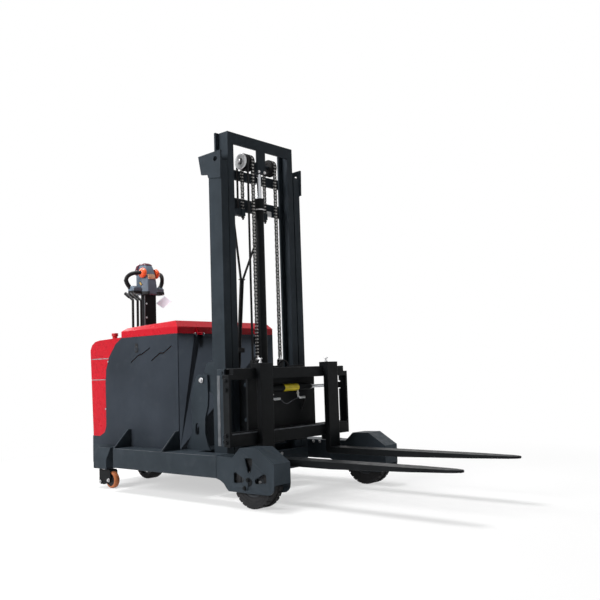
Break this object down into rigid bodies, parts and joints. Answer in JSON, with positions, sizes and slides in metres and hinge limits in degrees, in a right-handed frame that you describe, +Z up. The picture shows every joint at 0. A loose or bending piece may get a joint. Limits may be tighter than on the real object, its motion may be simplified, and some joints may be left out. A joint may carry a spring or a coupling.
{
  "type": "rough_terrain_stacker",
  "caption": "Walk-behind electric rough terrain stacker: lugged wheels on straddle legs, steered drive wheel, tilting two-stage mast, side-shifting forks.",
  "frame": {"origin": "on the floor below the middle of the overall length and width", "axes": "+X forward to the fork tips, +Y to the machine's left, +Z up"},
  "size_m": [2.62, 1.066, 2.062],
  "materials": {
    "blue_grey_paint": "semi-gloss dark blue-grey paint",
    "red_paint": "glossy red paint",
    "black_paint": "satin black paint",
    "black_rubber": "matt black lugged rubber",
    "drive_rubber": "dark solid tread",
    "grey_rim": "dark grey rim paint",
    "orange_tread": "orange-brown tread",
    "bare_steel": "bright zinc-plated steel",
    "chrome_rod": "polished rod",
    "chain_steel": "oiled dark steel",
    "hose_rubber": "black hose",
    "grey_plastic": "grey-blue handle plastic",
    "black_plastic": "black plastic",
    "stop_red": "red knob",
    "battery_case": "dark battery case"
  },
  "bodies": {
    "chassis": {"base_frame": "blue_grey_paint", "leg_beam_right": "blue_grey_paint", "leg_beam_left": "blue_grey_paint", "wheel_housing_right": "blue_grey_paint", "wheel_housing_left": "blue_grey_paint", "side_panel_right": "blue_grey_paint", "side_panel_left": "blue_grey_paint", "front_panel": "blue_grey_paint", "rear_shell": "red_paint", "battery": "battery_case", "lever_bank": "black_plastic", "stop_button": "stop_red", "caster_boxes": "blue_grey_paint"},
    "hood": {"hood_lid": "red_paint"},
    "front_wheel_right": {"front_hub_right": "grey_rim", "front_tyre_right": "black_rubber"},
    "front_wheel_left": {"front_hub_left": "grey_rim", "front_tyre_left": "black_rubber"},
    "steer_unit": {"drive_unit": "black_paint"},
    "drive_roll": {"drive_wheel": "drive_rubber"},
    "tiller": {"tiller_column": "black_paint", "tiller_head": "grey_plastic"},
    "caster_swivel_right": {"caster_fork_right": "black_paint"},
    "caster_swivel_left": {"caster_fork_left": "black_paint"},
    "caster_roll_right": {"caster_wheel_right": "orange_tread"},
    "caster_roll_left": {"caster_wheel_left": "orange_tread"},
    "outer_mast": {"outer_channel_right": "blue_grey_paint", "outer_channel_left": "blue_grey_paint", "outer_ties": "blue_grey_paint", "lift_cylinder": "black_paint", "chains_rear": "chain_steel", "fixed_hoses": "hose_rubber"},
    "tilt_cylinder": {"tilt_barrel": "black_paint"},
    "tilt_piston": {"tilt_rod": "chrome_rod"},
    "inner_mast": {"inner_upright_right": "blue_grey_paint", "inner_upright_left": "blue_grey_paint", "inner_crossbars": "blue_grey_paint", "piston_rod": "chrome_rod", "pulleys": "bare_steel", "chain_wraps": "chain_steel", "chains_front": "chain_steel"},
    "carriage": {"carriage_frame": "black_paint", "shift_barrel": "black_paint"},
    "shifter": {"shift_frame": "black_paint", "shift_rod": "chrome_rod", "fork_right": "black_paint", "fork_left": "black_paint"}
  },
  "joints": [
    {"name": "front_wheel_right_spin", "type": "hinge", "parent": "chassis", "child": "front_wheel_right", "pos_m": [0.256, -0.468, 0.135], "axis": [0, 1, 0], "continuous": true},
    {"name": "front_wheel_left_spin", "type": "hinge", "parent": "chassis", "child": "front_wheel_left", "pos_m": [0.256, 0.468, 0.135], "axis": [0, 1, 0], "continuous": true},
    {"name": "steering", "type": "hinge", "parent": "chassis", "child": "steer_unit", "pos_m": [-1.152, -0.052, 0.27], "axis": [0, 0, 1], "range_deg": [-65, 65]},
    {"name": "drive_wheel_spin", "type": "hinge", "parent": "steer_unit", "child": "drive_roll", "pos_m": [-1.152, -0.052, 0.115], "axis": [0, 1, 0], "continuous": true},
    {"name": "tiller_tilt", "type": "hinge", "parent": "steer_unit", "child": "tiller", "pos_m": [-1.152, -0.052, 0.96], "axis": [0, 1, 0], "range_deg": [-70, 0]},
    {"name": "caster_right_turn", "type": "hinge", "parent": "chassis", "child": "caster_swivel_right", "pos_m": [-1.062, -0.45, 0.115], "axis": [0, 0, 1], "continuous": true},
    {"name": "caster_left_turn", "type": "hinge", "parent": "chassis", "child": "caster_swivel_left", "pos_m": [-1.062, 0.45, 0.115], "axis": [0, 0, 1], "continuous": true},
    {"name": "caster_wheel_right_spin", "type": "hinge", "parent": "caster_swivel_right", "child": "caster_roll_right", "pos_m": [-1.004, -0.45, 0.05], "axis": [0, 1, 0], "continuous": true},
    {"name": "caster_wheel_left_spin", "type": "hinge", "parent": "caster_swivel_left", "child": "caster_roll_left", "pos_m": [-1.004, 0.45, 0.05], "axis": [0, 1, 0], "continuous": true},
    {"name": "mast_tilt", "type": "hinge", "parent": "chassis", "child": "outer_mast", "pos_m": [-0.28, 0, 0.64], "axis": [0, 1, 0], "range_deg": [-6, 3]},
    {"name": "tilt_cylinder_swing", "type": "hinge", "parent": "chassis", "child": "tilt_cylinder", "pos_m": [-0.412, 0, 0.33], "axis": [0, 1, 0], "range_deg": [-1.5, 1]},
    {"name": "tilt_piston_slide", "type": "slide", "parent": "tilt_cylinder", "child": "tilt_piston", "axis": [1, 0, 0], "range_m": [-0.0165, 0.033]},
    {"name": "mast_lift", "type": "slide", "parent": "outer_mast", "child": "inner_mast", "axis": [0, 0, 1], "range_m": [0, 1.1], "deforming": ["chains_rear"]},
    {"name": "carriage_lift", "type": "slide", "parent": "inner_mast", "child": "carriage", "axis": [0, 0, 1], "range_m": [0, 1.1], "deforming": ["chains_front"]},
    {"name": "side_shift", "type": "slide", "parent": "carriage", "child": "shifter", "axis": [0, 1, 0], "range_m": [-0.075, 0.075]},
    {"name": "hood_hinge", "type": "hinge", "parent": "chassis", "child": "hood", "pos_m": [-0.422, 0, 0.914], "axis": [0, 1, 0], "range_deg": [0, 70]}
  ],
  "couplings": [
    {"joint": "tilt_cylinder_swing", "follows": "mast_tilt", "ratio": 0.21},
    {"joint": "tilt_piston_slide", "follows": "mast_tilt", "m_per_rad": -0.31},
    {"joint": "carriage_lift", "follows": "mast_lift", "ratio": 1}
  ]
}
